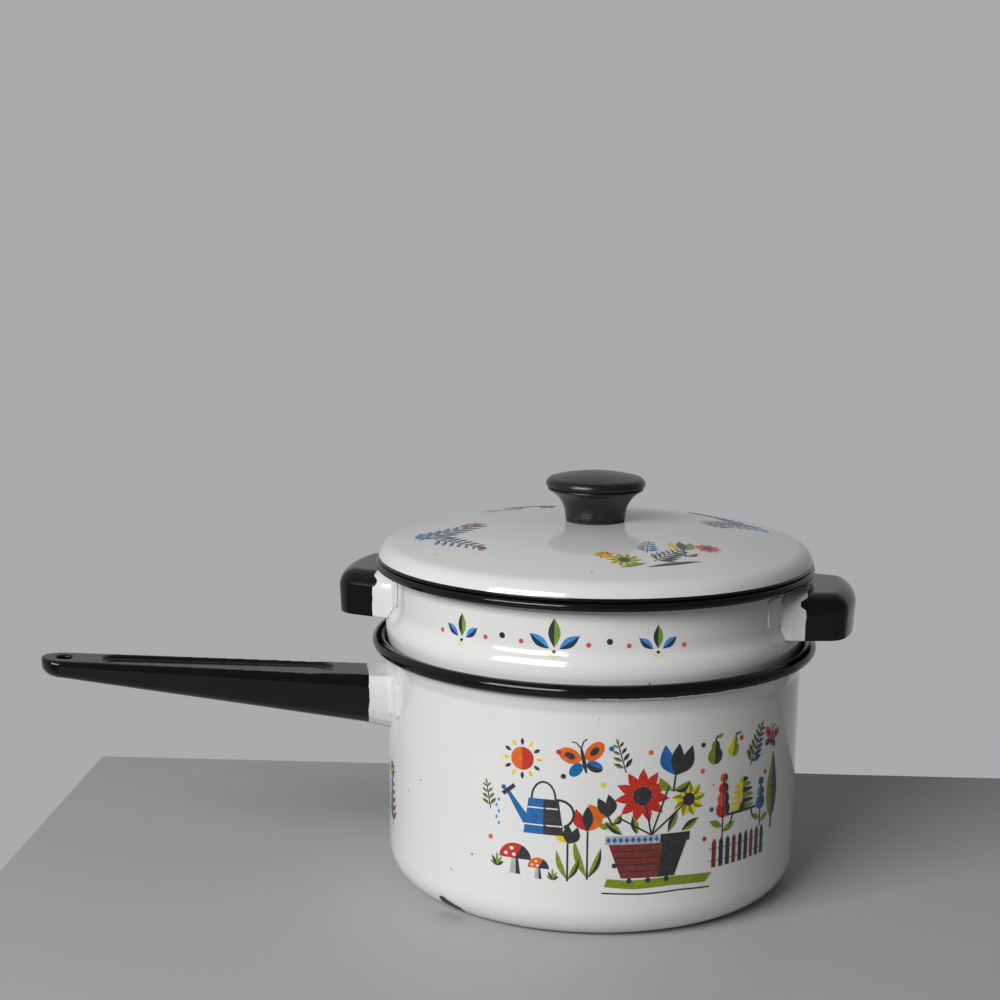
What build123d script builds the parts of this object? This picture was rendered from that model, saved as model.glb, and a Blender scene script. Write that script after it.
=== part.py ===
from build123d import *
import math
import os

os.makedirs("parts", exist_ok=True)

# Enamelled sheet and the clearances between pieces
sheet = 1.0
seat_gap = 0.3
slip_gap = 0.05
overrun = 3.0

# Lower pan, measured on its inner face, with an 18 cm bore
pan_bore = 90.0
pan_taper = 1.2
pan_corner = 12.8
pan_height = 108.9
pan_bead = 2.9
pan_curl_angle = 280.0
rim_neck = 0.6
seat_step = 1.9
seat_height = 5.2
seat_below_rim = 7.2
seat_bend = 6.0
mouth_bend = 2.5

# Insert, measured on its outer face
insert_stand = 33.1
insert_depth = 108.0
insert_taper = 2.4
insert_corner = 16.0
insert_bead = 1.9
insert_curl_angle = 235.0
insert_lip = 5.7
neck_play = 3.2
neck_bend = 4.0
waist_play = 1.5
waist_drop = 4.4
waist_low_bend = 3.0
waist_high_bend = 6.0
shoulder_bulge = 1.4
shoulder_start = 1.6
shoulder_end = 6.1
shoulder_under_bend = 14.0
shoulder_over_bend = 9.0
collar_step = 3.3
collar_rise = 11.6
collar_bend = 7.0
lip_bend = 3.0

# Lid
lid_inset = 1.1
lid_rise = 16.5
lid_rim_width = 1.8
lid_rim_height = 1.5
lid_rim_round = 0.5
lid_rim_lip = 0.3
pad_radius = 13.6
brow_inset = 6.0
brow_drop = 8.7
skirt_play = 0.9
skirt_depth = 5.0
skirt_bend = 1.4
hem_width = 1.4
hem_height = 3.9

# Knob and its fastening
knob_radius = 13.25
knob_foot_round = 0.6
knob_stem_height = 1.0
knob_neck_height = 12.7
knob_flare = 7.1
knob_lower_lip = 21.0
knob_upper_lip = 21.8
knob_lip_height = 1.3
knob_groove = 0.5
knob_disc_underside = 0.8
knob_edge_round = 3.0
knob_crown = 5.4
gasket_thickness = 1.0
gasket_inset = 0.4
bush_radius = 4.2
bush_length = 12.0
screw_radius = 2.1
screw_reach = 10.0
screw_head_radius = 4.75
screw_head_height = 2.6
screw_head_round = 1.2
screw_slot_width = 1.2
screw_slot_depth = 1.3
screw_play = 0.6
washer_radius = 7.0
washer_thickness = 1.0

# Side lugs of the insert
lug_turn_angle = -19.0
lug_stand = 25.8
lug_brow_stand = 21.5
lug_root_half_width = 30.0
lug_half_width = 24.5
lug_corner = 10.0
lug_height = 19.5
lug_below_rim = 6.5
lug_round = 8.0
lug_sheet = 1.4
lug_white_width = 5.2

# Weld tabs that carry the lugs and the handle
tab_thickness = 0.9
tab_width = 11.0
tab_lap = 1.0
tab_corner = 2.5
lug_tab_height = 12.6
handle_tab_height = 16.5

# Long handle
handle_below_rim = 15.9
handle_rise_angle = 3.61
handle_length = 149.0
handle_root_half_width = 12.74
handle_tip_half_width = 9.5
handle_root_depth = 23.4
handle_tip_depth = 8.8
handle_root_lean_angle = 15.0
handle_tip_lean_angle = 32.0
bracket_length = 9.0
bracket_flare = 1.6
tongue_length = 9.0
trough_start = 16.0
trough_length = 98.0
trough_border = 3.0
trough_depth = 1.7
trough_slope = 1.5
eye_radius = 3.4
eye_wall = 1.1


def finish(piece, name):
    """Label a finished piece and write it to its own file."""
    piece.part.label = name
    export_step(piece.part, f"parts/{name}.step")


def curl_section(centre, bead, start_angle, turn, tail, tail_back):
    """Section of a sheet's edge that is curled into a hollow bead, with its tail."""
    outside = CenterArc(centre, bead, start_angle, -turn)
    inside = CenterArc(centre, bead - sheet, start_angle, -turn)
    Line(outside @ 1, inside @ 1)
    Polyline(inside @ 0, tail_back, tail, outside @ 0)


# Lower pan shell
# One deep-drawn sheet: flat floor, rounded corner, tapered wall and the stepped seat of the mouth
mouth_radius = pan_bore + seat_step
seat_high = pan_height - seat_below_rim
seat_low = seat_high - seat_height
pan_split = pan_height - 2 * pan_bead - rim_neck
pan_line = [
    (0, sheet),
    (pan_bore - pan_taper, sheet),
    (pan_bore, seat_low),
    (mouth_radius, seat_high),
    (mouth_radius, pan_split),
]
pan_bends = [pan_corner, seat_bend, mouth_bend]

with BuildPart() as lower_pan_shell:
    with BuildSketch(Plane.XZ):
        with BuildLine():
            FilletPolyline(*pan_line, radius=pan_bends)
            offset(amount=sheet, side=Side.RIGHT)
        make_face()
    revolve(axis=Axis.Z)
finish(lower_pan_shell, "lower_pan_shell")

# The same pan without its hollow, for shaping what is welded to its wall
with BuildPart(mode=Mode.PRIVATE) as pan_blank:
    with BuildSketch(Plane.XZ):
        with BuildLine():
            FilletPolyline(*pan_line, radius=pan_bends)
            offset(amount=sheet, side=Side.RIGHT)
        make_face()
        with BuildLine():
            FilletPolyline(*pan_line, radius=pan_bends)
            Polyline((mouth_radius, pan_split), (0, pan_split), (0, sheet))
        make_face()
    revolve(axis=Axis.Z)

# Lower pan rim
# The edge of the sheet curls outwards and down into a hollow bead, dipped in black enamel
with BuildPart() as lower_pan_rim:
    with BuildSketch(Plane.XZ):
        with BuildLine():
            curl_section(
                (mouth_radius + pan_bead, pan_height - pan_bead), pan_bead, 180, pan_curl_angle,
                (mouth_radius, pan_split), (mouth_radius + sheet, pan_split),
            )
        make_face()
    revolve(axis=Axis.Z)
finish(lower_pan_rim, "lower_pan_rim")

# Insert shell
# A second drawn pot hangs in the first: its cone lies on the stepped seat, a short waist stands
# clear of the pan's bead, a full round shoulder bulges over it, and a straight collar rises to a
# lip that is turned outwards
seat_lean = math.atan2(seat_step, seat_height)
neck_radius = pan_bore - neck_play
waist_radius = mouth_radius - waist_play
shoulder_radius = waist_radius + shoulder_bulge
collar_radius = shoulder_radius - collar_step
insert_height = pan_height + insert_stand
waist_top = pan_height - waist_drop
shoulder_base = pan_height + shoulder_start
shoulder_top = pan_height + shoulder_end
collar_base = pan_height + collar_rise
insert_floor = insert_height - insert_depth


def on_seat(radius):
    """Height at which the insert's cone, clear of the pan's seat, has a radius."""
    return seat_low + (radius - pan_bore + seat_gap / math.cos(seat_lean)) / math.tan(seat_lean)


insert_line = [
    (0, insert_floor),
    (neck_radius - insert_taper, insert_floor),
    (neck_radius, on_seat(neck_radius)),
    (waist_radius, on_seat(waist_radius)),
    (waist_radius, waist_top),
    (shoulder_radius, shoulder_base),
    (shoulder_radius, shoulder_top),
    (collar_radius, collar_base),
    (collar_radius, insert_height - sheet),
    (collar_radius + insert_lip - insert_bead, insert_height - sheet),
]
insert_bends = [
    insert_corner, neck_bend, waist_low_bend, waist_high_bend, shoulder_under_bend,
    shoulder_over_bend, collar_bend, lip_bend,
]

with BuildPart() as insert_shell:
    with BuildSketch(Plane.XZ):
        with BuildLine():
            FilletPolyline(*insert_line, radius=insert_bends)
            offset(amount=sheet, side=Side.LEFT)
        make_face()
    revolve(axis=Axis.Z)
finish(insert_shell, "insert_shell")

# The same pot without its hollow, for shaping what is welded to its wall
with BuildPart(mode=Mode.PRIVATE) as insert_blank:
    with BuildSketch(Plane.XZ):
        with BuildLine():
            FilletPolyline(*insert_line, radius=insert_bends)
            Polyline(
                insert_line[-1], (insert_line[-1][0], insert_height), (0, insert_height), (0, insert_floor),
            )
        make_face()
    revolve(axis=Axis.Z)

# Insert rim
# The end of the lip curls down into a small bead, dipped in black enamel
insert_rim_centre = collar_radius + insert_lip
with BuildPart() as insert_rim:
    with BuildSketch(Plane.XZ):
        with BuildLine():
            curl_section(
                (insert_rim_centre, insert_height - insert_bead), insert_bead, 90, insert_curl_angle,
                (insert_rim_centre - insert_bead, insert_height),
                (insert_rim_centre - insert_bead, insert_height - sheet),
            )
        make_face()
    revolve(axis=Axis.Z)
finish(insert_rim, "insert_rim")

# Lid shell
# A low dome with a flat pad for the knob; its edge is hemmed under, and the hem runs inwards to
# a short skirt that centres the lid in the insert's mouth
lid_seat = insert_height + seat_gap
lid_radius = insert_rim_centre + insert_bead - lid_inset
lid_crown = insert_height + lid_rise
brow_radius = lid_radius - brow_inset
screw_hole_radius = screw_radius + screw_play
skirt_radius = collar_radius - sheet - skirt_play
lid_edge = lid_seat + lid_rim_height
rim_inner = lid_radius - lid_rim_width

with BuildPart() as lid_shell:
    with BuildSketch(Plane.XZ):
        with BuildLine():
            pad = Line((screw_hole_radius, lid_crown), (pad_radius, lid_crown))
            crown_run = brow_radius - pad_radius
            crown_radius = (crown_run**2 + brow_drop**2) / (2 * brow_drop)
            crown_angle = math.degrees(math.asin(crown_run / crown_radius))
            crown_centre = (pad_radius, lid_crown - crown_radius)
            crown = CenterArc(crown_centre, crown_radius, 90, -crown_angle)
            TangentArc(crown @ 1, (lid_radius, lid_edge), tangent=crown % 1)
            offset(amount=sheet, side=Side.RIGHT)
        make_face()
        with BuildLine():
            FilletPolyline(
                (rim_inner, lid_seat), (skirt_radius, lid_seat), (skirt_radius, lid_seat - skirt_depth),
                radius=[skirt_bend],
            )
            offset(amount=sheet, side=Side.RIGHT)
        make_face()
        with Locations((rim_inner, lid_seat)):
            Rectangle(hem_width, hem_height, align=(Align.MAX, Align.MIN))
        with Locations((rim_inner, lid_seat)):
            Rectangle(lid_rim_width + overrun, lid_rim_height, align=Align.MIN, mode=Mode.SUBTRACT)
    revolve(axis=Axis.Z)
finish(lid_shell, "lid_shell")

# Lid rim
# The folded edge of the lid, dipped in black enamel like the other two rims
with BuildPart() as lid_rim:
    with BuildSketch(Plane.XZ):
        with Locations((rim_inner, lid_seat)):
            Rectangle(lid_rim_width + lid_rim_lip, lid_rim_height, align=Align.MIN)
        outer_corners = vertices().group_by(Axis.X)[-1]
        fillet(outer_corners, lid_rim_round)
    revolve(axis=Axis.Z)
finish(lid_rim, "lid_rim")

# Knob gasket
# A thin fibre disc keeps the knob off the enamel of the lid
with BuildPart() as knob_gasket:
    with BuildSketch(Plane.XY.offset(lid_crown)):
        Circle(knob_radius - gasket_inset)
        Circle(screw_hole_radius, mode=Mode.SUBTRACT)
    extrude(amount=gasket_thickness)
finish(knob_gasket, "knob_gasket")

# Knob
# Moulded black phenolic: straight foot, flared neck, two lips with a groove, low crown
knob_base = lid_crown + gasket_thickness
knob_neck = knob_base + knob_neck_height
groove_height = knob_neck + knob_lip_height
disc_low = groove_height + knob_groove
disc_edge = disc_low + knob_disc_underside
knob_top = disc_edge + knob_crown
neck_radius_top = knob_radius + knob_flare
round_centre = Vector(knob_upper_lip - knob_edge_round, disc_edge)
dome_drop = knob_crown - knob_edge_round
dome_radius = (round_centre.X**2 + knob_crown**2 - knob_edge_round**2) / (2 * dome_drop)
dome_centre = Vector(0, knob_top - dome_radius)
dome_end = dome_centre + (round_centre - dome_centre) * (dome_radius / (dome_radius - knob_edge_round))

with BuildPart() as knob:
    with BuildSketch(Plane.XZ):
        with BuildLine():
            Line((0, knob_base), (knob_radius - knob_foot_round, knob_base))
            Line((knob_radius - knob_foot_round, knob_base), (knob_radius, knob_base + knob_foot_round))
            stem = Line((knob_radius, knob_base + knob_foot_round), (knob_radius, knob_base + knob_stem_height))
            TangentArc(stem @ 1, (neck_radius_top, knob_neck), tangent=stem % 1)
            ThreePointArc(
                (neck_radius_top, knob_neck),
                (knob_lower_lip, knob_neck + knob_lip_height / 2),
                (neck_radius_top, groove_height),
            )
            Line((neck_radius_top, groove_height), (neck_radius_top, disc_low))
            TangentArc((knob_upper_lip, disc_edge), (neck_radius_top, disc_low), tangent=(0, -1))
            edge_arc = TangentArc((knob_upper_lip, disc_edge), dome_end, tangent=(0, 1))
            TangentArc(dome_end, (0, knob_top), tangent=edge_arc % 1)
            Line((0, knob_top), (0, knob_base))
        make_face()
    revolve(axis=Axis.Z)
    with BuildSketch(Plane.XY.offset(knob_base)):
        Circle(bush_radius + slip_gap)
    extrude(amount=bush_length + slip_gap, mode=Mode.SUBTRACT)
finish(knob, "knob")

# Knob bush
# Threaded brass bush moulded into the knob's foot
with BuildPart() as knob_bush:
    with BuildSketch(Plane.XY.offset(knob_base)):
        Circle(bush_radius)
        Circle(screw_radius + slip_gap, mode=Mode.SUBTRACT)
    extrude(amount=bush_length)
finish(knob_bush, "knob_bush")

# Knob washer
# Steel washer between the lid's inner face and the screw head
washer_top = lid_crown - sheet
with BuildPart() as knob_washer:
    with BuildSketch(Plane.XY.offset(washer_top - washer_thickness)):
        Circle(washer_radius)
        Circle(screw_hole_radius, mode=Mode.SUBTRACT)
    extrude(amount=washer_thickness)
finish(knob_washer, "knob_washer")

# Knob screw
# Slotted pan-head screw, put in from under the lid
screw_seat = washer_top - washer_thickness
with BuildPart() as knob_screw:
    with BuildSketch(Plane.XY.offset(screw_seat)):
        Circle(screw_head_radius)
    extrude(amount=-screw_head_height)
    head_edge = edges().group_by(Axis.Z)[0]
    fillet(head_edge, screw_head_round)
    with BuildSketch(Plane.XY.offset(screw_seat)):
        Circle(screw_radius)
    extrude(amount=knob_base + screw_reach - screw_seat)
    with BuildSketch(Plane.XY.offset(screw_seat - screw_head_height)):
        Rectangle(2 * screw_head_radius + overrun, screw_slot_width)
    extrude(amount=screw_slot_depth, mode=Mode.SUBTRACT)
finish(knob_screw, "knob_screw")


def weld_tab(start_angle, turn, low_radius, low_height, high_radius, high_height):
    """Thin curved tab that lies on a wall, from a start angle and round by a signed turn."""
    angle = math.radians(start_angle)
    radial = Vector(math.cos(angle), math.sin(angle), 0)
    with BuildPart(mode=Mode.PRIVATE) as tab:
        with BuildSketch(Plane(origin=(0, 0, 0), x_dir=radial, z_dir=radial.cross(Vector(0, 0, 1)))):
            with BuildLine():
                Polyline(
                    (low_radius, low_height), (low_radius + tab_thickness, low_height),
                    (high_radius + tab_thickness, high_height), (high_radius, high_height),
                    close=True,
                )
            make_face()
        revolve(axis=Axis.Z if turn > 0 else Axis((0, 0, 0), (0, 0, -1)), revolution_arc=abs(turn))
        start_point = radial * low_radius + Vector(0, 0, (low_height + high_height) / 2)
        short_edges = edges().filter_by(lambda edge: edge.length < 2 * tab_thickness)
        free_edges = short_edges.sort_by(lambda edge: (edge.center() - start_point).length)[-2:]
        fillet(free_edges, tab_corner)
    return tab.part


# Side lugs
# Two pressed wings, closed on top and open below for the fingertips; each is white where it is
# welded to the collar by its tabs, and its outer part is dipped in black enamel
lug_top = insert_height - lug_below_rim
lug_bottom = lug_top - lug_height


def lug_plane(turn, height):
    """Level plane at a height whose X axis points along a lug."""
    angle = math.radians(turn)
    return Plane(origin=(0, 0, height), x_dir=(math.cos(angle), math.sin(angle), 0), z_dir=(0, 0, 1))


def reach_along(edge, turn):
    """Distance of an edge's middle from the pot's axis, measured along the lug."""
    angle = math.radians(turn)
    middle = edge.center()
    return middle.X * math.cos(angle) + middle.Y * math.sin(angle)


def lug_block(turn, height, inset, mode):
    """Solid wing of the lug's outline, with its upper edge rounded, made smaller by an inset."""
    reach = collar_radius + lug_stand - inset
    brow = collar_radius + lug_brow_stand - inset
    root_width = lug_root_half_width - inset
    width = lug_half_width - inset
    with BuildPart(mode=Mode.PRIVATE) as block:
        with BuildSketch(lug_plane(turn, lug_bottom)):
            with BuildLine():
                Polyline((brow, width), (collar_radius, root_width), (0, root_width))
                Line((0, root_width), (0, -root_width))
                Polyline((0, -root_width), (collar_radius, -root_width), (brow, -width))
                ThreePointArc((brow, -width), (reach, 0), (brow, width))
            make_face()
        extrude(amount=height)
        corners = edges().filter_by(Axis.Z).sort_by(lambda edge: -reach_along(edge, turn))[:2]
        fillet(corners, lug_corner - inset)
        top_outline = edges().group_by(Axis.Z)[-1].sort_by(lambda edge: -reach_along(edge, turn))
        rounded = [edge for edge in top_outline if reach_along(edge, turn) > overrun]
        fillet(rounded, lug_round - inset)
    add(block.part, mode=mode)


def side_lug(turn):
    """Whole lug with its tabs, before its two colours of enamel are told apart."""
    with BuildPart() as lug:
        lug_block(turn, lug_height, 0, Mode.ADD)
        lug_block(turn, lug_height - lug_sheet, lug_sheet, Mode.SUBTRACT)
        root_angle = math.degrees(math.asin((lug_root_half_width - tab_lap) / collar_radius))
        tab_angle = math.degrees((tab_width + tab_lap) / collar_radius)
        for way in (1, -1):
            tab = weld_tab(
                turn + way * root_angle, way * tab_angle, collar_radius - slip_gap, lug_top - lug_tab_height,
                collar_radius - slip_gap, lug_top,
            )
            add(tab)
        add(insert_blank.part, mode=Mode.SUBTRACT)
    return lug.part


lug_names = ["right_lug", "left_lug"]
for number, lug_name in enumerate(lug_names):
    turn = lug_turn_angle + number * 360 / len(lug_names)
    whole_lug = side_lug(turn)
    line_plane = lug_plane(turn, 0)
    enamel_line = Plane(
        origin=line_plane.x_dir * (collar_radius + lug_white_width), z_dir=line_plane.x_dir,
    )
    with BuildPart() as lug_grip:
        add(whole_lug)
        split(bisect_by=enamel_line, keep=Keep.TOP)
    finish(lug_grip, lug_name)
    with BuildPart() as lug_root:
        add(whole_lug)
        split(bisect_by=enamel_line, keep=Keep.BOTTOM)
    finish(lug_root, f"{lug_name}_root")

# Long handle
# The handle stands out along -X and rises a little; its sections are taken across this line
handle_start = pan_bore + sheet + bracket_length
handle_top = pan_height - handle_below_rim + bracket_length * math.sin(math.radians(handle_rise_angle))
tilt = math.radians(handle_rise_angle)
handle_run = Vector(-math.cos(tilt), 0, math.sin(tilt))
handle_up = Vector(math.sin(tilt), 0, math.cos(tilt))
handle_origin = Vector(-handle_start, 0, handle_top)
grip_length = handle_length - bracket_length
tip_centre = grip_length - handle_tip_half_width


def station(distance):
    """Plane across the handle at a distance from the end of its bracket."""
    return Plane(origin=handle_origin + handle_run * distance, x_dir=(0, -1, 0), z_dir=handle_run)


def half_outline(distance, inset, top, flare=0):
    """Corner, foot and keel points of the handle's section on one side."""
    share = distance / tip_centre
    lean = math.radians(handle_root_lean_angle + (handle_tip_lean_angle - handle_root_lean_angle) * share)
    half_width = handle_root_half_width + (handle_tip_half_width - handle_root_half_width) * share
    half_width = half_width + flare - inset / math.cos(lean)
    depth = handle_root_depth + (handle_tip_depth - handle_root_depth) * share + flare - inset
    keel_radius = (half_width * math.cos(lean) - depth * math.sin(lean)) / (1 - math.sin(lean))
    side_length = half_width * math.sin(lean) + (depth - keel_radius) * math.cos(lean)
    corner = Vector(half_width - top * math.tan(lean), -top)
    foot = Vector(half_width - side_length * math.sin(lean), -side_length * math.cos(lean))
    middle_angle = (math.pi / 2 - lean) / 2 + lean
    middle = Vector(keel_radius * math.cos(middle_angle), keel_radius - depth - keel_radius * math.sin(middle_angle))
    return corner, foot, middle, Vector(0, -depth)


def handle_solid(distances, flares, inset, top, mode):
    """Ruled body of the handle through sections at the given distances."""
    with BuildPart(mode=Mode.PRIVATE) as body:
        for distance, flare in zip(distances, flares):
            corner, foot, middle, keel = half_outline(distance, inset, top, flare)
            with BuildSketch(station(distance)):
                with BuildLine():
                    Polyline(Vector(0, -top), corner, foot)
                    ThreePointArc(foot, middle, keel)
                    mirror(about=Plane.YZ)
                make_face()
        loft(ruled=True)
    add(body.part, mode=mode)


def handle_tip(inset, top, mode):
    """Round end of the handle: its last section turned half way round."""
    corner, foot, middle, keel = half_outline(tip_centre, inset, top)
    with BuildPart(mode=Mode.PRIVATE) as bowl:
        with BuildSketch(station(tip_centre)):
            with BuildLine():
                Polyline(keel, Vector(0, -top), corner, foot)
                ThreePointArc(foot, middle, keel)
            make_face()
        tip_axis = Axis(handle_origin + handle_run * tip_centre, handle_up * -1)
        revolve(axis=tip_axis, revolution_arc=180)
    add(bowl.part, mode=mode)


# Handle bracket
# White root of the handle: a short closed box section that widens to the wall, is welded there
# by two tabs, and reaches into the grip with a tongue
bracket_deep = -bracket_length - overrun
bracket_stations = [bracket_deep, 0]
bracket_flares = [bracket_flare * bracket_deep / -bracket_length, 0]
tongue_inset = sheet + slip_gap
root_half_width = handle_root_half_width + bracket_flare
tab_high = handle_top - sheet
tab_low = tab_high - handle_tab_height


def pan_wall(height):
    """Outer radius of the pan's slightly tapered wall at a height."""
    return pan_bore + sheet - pan_taper * (seat_low - height) / (seat_low - sheet)


with BuildPart() as handle_bracket:
    handle_solid(bracket_stations, bracket_flares, 0, 0, Mode.ADD)
    handle_solid(bracket_stations, bracket_flares, sheet, sheet, Mode.SUBTRACT)
    handle_solid([-sheet, 0], [0, 0], sheet / 2, sheet / 2, Mode.ADD)
    handle_solid([-sheet, tongue_length], [0, 0], tongue_inset, tongue_inset, Mode.ADD)
    handle_solid(
        [-2 * sheet, tongue_length + sheet], [0, 0], tongue_inset + sheet, tongue_inset + sheet, Mode.SUBTRACT,
    )
    for way in (1, -1):
        tab_start = 180 + way * math.degrees(math.asin((root_half_width - tab_lap) / pan_bore))
        tab_turn = way * math.degrees((tab_width + tab_lap) / pan_bore)
        add(weld_tab(
            tab_start, tab_turn, pan_wall(tab_low) - slip_gap, tab_low, pan_wall(tab_high) - slip_gap, tab_high,
        ))
    add(pan_blank.part, mode=Mode.SUBTRACT)
finish(handle_bracket, "handle_bracket")

# Handle channel
# Lower half of the grip, a tapering trough with a round end, pierced for the hanging eye
grip_stations = [0, tip_centre / 2, tip_centre]
grip_flares = [0, 0, 0]
eye_plane = Plane(origin=handle_origin + handle_run * tip_centre, x_dir=handle_run, z_dir=handle_up)

with BuildPart() as handle_channel:
    handle_solid(grip_stations, grip_flares, 0, sheet, Mode.ADD)
    handle_tip(0, sheet, Mode.ADD)
    handle_solid(grip_stations, grip_flares, sheet, 0, Mode.SUBTRACT)
    handle_tip(sheet, 0, Mode.SUBTRACT)
    with BuildSketch(eye_plane):
        Circle(eye_radius + eye_wall + slip_gap)
    extrude(amount=-handle_root_depth, mode=Mode.SUBTRACT)
finish(handle_channel, "handle_channel")

# Handle top plate
# Upper half of the grip: a flat strip with a long thumb trough pressed into it and, at the round
# end, a drawn eyelet that passes through the channel to hang the pan by
top_plane = Plane(origin=handle_origin, x_dir=handle_run, z_dir=handle_up)


def trough(level, depth, border, slope):
    """Long pressed recess with sloping walls, going down from a level of the top plate."""
    far_share = (trough_start + trough_length) / tip_centre
    near_share = trough_start / tip_centre
    width_change = handle_tip_half_width - handle_root_half_width
    near_radius = handle_root_half_width + width_change * near_share - border
    far_radius = handle_root_half_width + width_change * far_share - border
    near_centre = trough_start + near_radius
    far_centre = trough_start + trough_length - far_radius
    with BuildPart(mode=Mode.PRIVATE) as recess:
        for drop, narrowing in ((0, 0), (depth, slope)):
            with BuildSketch(top_plane.offset(level - drop)):
                with Locations((near_centre, 0)):
                    Circle(near_radius - narrowing)
                with Locations((far_centre, 0)):
                    Circle(far_radius - narrowing)
                make_hull()
        loft(ruled=True)
    return recess.part


with BuildPart(mode=Mode.PRIVATE) as handle_blank:
    handle_solid(grip_stations, grip_flares, 0, 0, Mode.ADD)
    handle_tip(0, 0, Mode.ADD)

with BuildPart(mode=Mode.PRIVATE) as eyelet:
    with BuildSketch(eye_plane):
        Circle(eye_radius + eye_wall)
    extrude(amount=-handle_root_depth)
    add(handle_blank.part, mode=Mode.INTERSECT)

with BuildPart() as handle_top_plate:
    with BuildSketch(top_plane):
        with BuildLine():
            Polyline(
                (tip_centre, -handle_tip_half_width), (0, -handle_root_half_width),
                (0, handle_root_half_width), (tip_centre, handle_tip_half_width),
            )
            CenterArc((tip_centre, 0), handle_tip_half_width, -90, 180)
        make_face()
    extrude(amount=-sheet)
    upper_face = faces().sort_by(Axis(handle_origin, handle_up))[-1]
    fillet(upper_face.edges().sort_by(Axis(handle_origin, handle_run))[1:], sheet / 2)
    add(trough(-sheet / 2, trough_depth + sheet / 2, trough_border - sheet, trough_slope))
    add(trough(0, trough_depth, trough_border, trough_slope), mode=Mode.SUBTRACT)
    add(eyelet.part)
    with BuildSketch(eye_plane):
        Circle(eye_radius)
    extrude(amount=-handle_root_depth, mode=Mode.SUBTRACT)
finish(handle_top_plate, "handle_top_plate")
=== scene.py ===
import math

import bpy
from mathutils import Matrix, Vector
from mathutils.bvhtree import BVHTree


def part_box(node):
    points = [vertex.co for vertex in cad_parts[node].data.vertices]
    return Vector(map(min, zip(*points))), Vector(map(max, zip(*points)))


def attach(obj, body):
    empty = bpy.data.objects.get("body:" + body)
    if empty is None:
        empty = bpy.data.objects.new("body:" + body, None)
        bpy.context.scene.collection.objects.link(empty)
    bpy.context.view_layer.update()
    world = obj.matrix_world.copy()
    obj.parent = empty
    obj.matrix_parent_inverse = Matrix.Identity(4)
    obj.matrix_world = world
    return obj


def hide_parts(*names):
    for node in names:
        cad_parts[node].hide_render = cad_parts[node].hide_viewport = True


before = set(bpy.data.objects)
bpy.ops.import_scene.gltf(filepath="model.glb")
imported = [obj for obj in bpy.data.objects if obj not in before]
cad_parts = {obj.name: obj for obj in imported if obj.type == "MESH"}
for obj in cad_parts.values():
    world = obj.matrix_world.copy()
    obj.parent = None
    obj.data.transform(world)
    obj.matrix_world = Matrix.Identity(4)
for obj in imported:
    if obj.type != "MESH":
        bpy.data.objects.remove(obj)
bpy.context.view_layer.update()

# Table, room and lamps
# A plain pale table top before a plain light grey backdrop, in a room that is darker towards the
# viewer and lights the object less than it shows. Three broad soft lamps stand over each other on
# the left in front, like a window.
camera_turn = math.radians(-10)
table_left = -0.262
table_right = 0.62
table_front = -0.60
table_back = 0.145
table_grey = (0.50, 0.50, 0.50, 1)
table_roughness = 0.55
backdrop_grey = (0.40, 0.405, 0.415, 1)
backdrop_direction = (-0.35, 1, 0)
backdrop_begins = -0.4
backdrop_full = 0.6
room_dark = (0.14, 0.14, 0.143, 1)
side_light = (0.020, 0.021, 0.022, 1)
ceiling_light = (0.15, 0.155, 0.16, 1)
window_rows = 3
window_row_rise = 0.27
window_row_size = (1.15, 0.11)
window_middle = Vector((-1.10, -1.08, 0.95))
window_power = 26.5
pot_middle = Vector((0, 0, 0.1))


class Socket:
    """One value in a node tree, on which arithmetic adds Math nodes."""

    def __init__(self, nodes, output):
        self.nodes = nodes
        self.output = output

    def maths(self, operation, *values):
        return self.nodes.node("ShaderNodeMath", {"operation": operation}, values)

    def __add__(self, other):
        return self.maths("ADD", self, other)

    def __sub__(self, other):
        return self.maths("SUBTRACT", self, other)

    def __rsub__(self, other):
        return self.maths("SUBTRACT", other, self)

    def __mul__(self, other):
        return self.maths("MULTIPLY", self, other)

    def __truediv__(self, other):
        return self.maths("DIVIDE", self, other)

    def __abs__(self):
        return self.maths("ABSOLUTE", self)

    __radd__ = __add__
    __rmul__ = __mul__

    def lesser(self, other):
        return self.maths("MINIMUM", self, other)

    def step(self, low, high):
        """Smooth mask that goes from 0 at one value to 1 at another."""
        return self.nodes.node(
            "ShaderNodeMapRange", {"interpolation_type": "SMOOTHSTEP"}, [self, low, high, 0, 1],
        )


class Nodes:
    """Node tree of the room or of a finish, built one node at a time."""

    def __init__(self, tree):
        self.tree = tree

    def node(self, kind, settings, inputs, output=0):
        """Add a node: its settings first, then a value or a link for each of its sockets."""
        node = self.tree.nodes.new(kind)
        for name, value in settings.items():
            setattr(node, name, value)
        pairs = inputs.items() if isinstance(inputs, dict) else enumerate(inputs)
        for key, value in pairs:
            self.fill(node.inputs[key], value)
        return Socket(self, node.outputs[output])

    def fill(self, socket, value):
        """Give a socket a value or a link."""
        if isinstance(value, Socket):
            self.tree.links.new(value.output, socket)
        else:
            socket.default_value = value

    def mix(self, first, second, share):
        """Colour between two colours."""
        return self.node("ShaderNodeMix", {"data_type": "RGBA"}, {0: share, 6: first, 7: second}, 2)


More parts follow.
